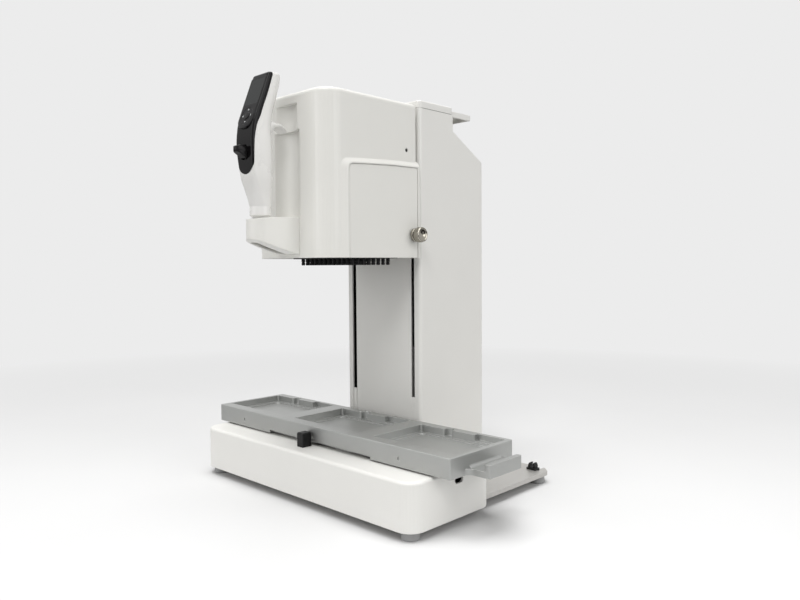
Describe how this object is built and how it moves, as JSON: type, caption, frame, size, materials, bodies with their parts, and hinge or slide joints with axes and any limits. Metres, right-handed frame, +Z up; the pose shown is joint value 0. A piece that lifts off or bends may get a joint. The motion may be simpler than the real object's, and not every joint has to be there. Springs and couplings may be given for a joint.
{
  "type": "liquid handling robot",
  "caption": "Bench-top pipetting robot: slim tower, lifting head with a tip block and upright handset, and a sliding aluminium plate stage on a flat base.",
  "frame": {"origin": "centre of the overall footprint, on the bench", "axes": "X along the sliding stage to its handle, Y from the handset to the tower's back, Z up"},
  "size_m": [0.4788, 0.3772, 0.5302],
  "materials": {
    "cover": "satin powder coat, warm off-white",
    "head_plastic": "fine-textured off-white moulding",
    "handset_white": "smooth white moulding",
    "handset_black": "polished black",
    "display_glass": "dark window over the display",
    "key_plastic": "satin black keys",
    "stage_aluminium": "bead-blasted, clear anodised",
    "frame_aluminium": "milled",
    "black_plastic": "moulded black",
    "steel": "ground",
    "bronze": "machined bronze",
    "plate_aluminium": "milled and clear anodised",
    "foot_grey": "grey rubber",
    "motor_black": "black motor case",
    "nickel": "knurled nickel plate",
    "board_green": "circuit board"
  },
  "bodies": {
    "base": {"base_cover": "cover", "base_plate": "plate_aluminium", "feet": "foot_grey", "foot_screws": "steel", "cable_clip": "black_plastic", "guide_blocks": "steel", "index_block": "black_plastic", "tower_cover": "cover", "tower_front_panel": "cover", "slot_strips": "cover", "top_cap": "cover", "carry_handle": "cover", "tower_spine": "frame_aluminium", "guide_channels": "black_plastic", "lift_rails": "steel", "lift_motor": "motor_black", "motor_bracket": "frame_aluminium", "bearing_blocks": "steel", "control_board": "board_green", "power_inlet": "black_plastic", "switch_frame": "black_plastic"},
    "stage": {"stage_plate": "stage_aluminium", "stage_rails": "steel", "stage_screws": "steel"},
    "plunger": {"index_plunger": "steel"},
    "rocker": {"power_switch": "black_plastic"},
    "lift_spindle": {"lift_screw": "steel"},
    "head": {"lift_nut": "bronze", "lift_yoke": "frame_aluminium", "rail_carriages": "steel", "head_cover": "head_plastic", "side_panel_right": "head_plastic", "side_panel_left": "head_plastic", "cover_screws": "motor_black", "front_console": "head_plastic", "head_frame": "frame_aluminium", "cylinder_block": "frame_aluminium", "tip_fittings": "black_plastic", "guide_posts": "steel", "piston_motor": "motor_black", "collar_ring": "handset_white", "handset_shell": "handset_white", "handset_face": "handset_black", "handset_display": "display_glass", "finger_hook": "handset_white"},
    "ejector": {"ejector_plate": "black_plastic"},
    "piston_set": {"pistons": "steel", "piston_plate": "frame_aluminium"},
    "piston_spindle": {"piston_screw": "steel"},
    "knob_right": {"clamp_knob_right": "nickel"},
    "knob_left": {"clamp_knob_left": "nickel"},
    "keypad": {"keypad_ring": "key_plastic"},
    "ok_key": {"select_key": "key_plastic"},
    "thumb_lever": {"trigger_lever": "key_plastic"}
  },
  "joints": [
    {"name": "stage_slide", "type": "slide", "parent": "base", "child": "stage", "axis": [1, 0, 0], "range_m": [-0.1615, 0.1485]},
    {"name": "plunger_press", "type": "slide", "parent": "base", "child": "plunger", "axis": [0, -1, 0], "range_m": [0, 0.0012], "stiffness_N_per_m": 400},
    {"name": "switch_rock", "type": "hinge", "parent": "base", "child": "rocker", "pos_m": [-0.0589, 0.1829, 0.06], "axis": [1, 0, 0], "range_deg": [-16, 0]},
    {"name": "head_lift", "type": "slide", "parent": "base", "child": "head", "axis": [0, 0, 1], "range_m": [-0.185, 0]},
    {"name": "screw_turn", "type": "hinge", "parent": "base", "child": "lift_spindle", "pos_m": [-0.0209, 0.0776, 0.2], "axis": [0, 0, 1], "range_deg": [-3400, 20]},
    {"name": "tip_eject", "type": "slide", "parent": "head", "child": "ejector", "axis": [0, 0, -1], "range_m": [0, 0.006], "stiffness_N_per_m": 2500},
    {"name": "piston_drive", "type": "slide", "parent": "head", "child": "piston_set", "axis": [0, 0, 1], "range_m": [0, 0.025]},
    {"name": "piston_screw_turn", "type": "hinge", "parent": "head", "child": "piston_spindle", "pos_m": [-0.0209, -0.01865, 0.43], "axis": [0, 0, 1], "range_deg": [-20, 1820]},
    {"name": "knob_right_turn", "type": "hinge", "parent": "head", "child": "knob_right", "pos_m": [0.0561, 0.0346, 0.34], "axis": [1, 0, 0], "continuous": true},
    {"name": "knob_left_turn", "type": "hinge", "parent": "head", "child": "knob_left", "pos_m": [-0.0979, 0.0346, 0.34], "axis": [-1, 0, 0], "continuous": true},
    {"name": "keypad_press", "type": "slide", "parent": "head", "child": "keypad", "axis": [0, 0.9329, -0.3601], "range_m": [0, 0.0008], "stiffness_N_per_m": 600},
    {"name": "select_press", "type": "slide", "parent": "head", "child": "ok_key", "axis": [0, 0.9329, -0.3601], "range_m": [0, 0.0008], "stiffness_N_per_m": 400},
    {"name": "lever_press", "type": "hinge", "parent": "head", "child": "thumb_lever", "pos_m": [-0.0209, -0.1654, 0.438], "axis": [1, 0, 0], "range_deg": [-7, 7], "stiffness_Nm_per_rad": 0.3}
  ],
  "couplings": [
    {"joint": "screw_turn", "follows": "head_lift", "rad_per_m": 314.16},
    {"joint": "piston_screw_turn", "follows": "piston_drive", "rad_per_m": 1256.6}
  ]
}
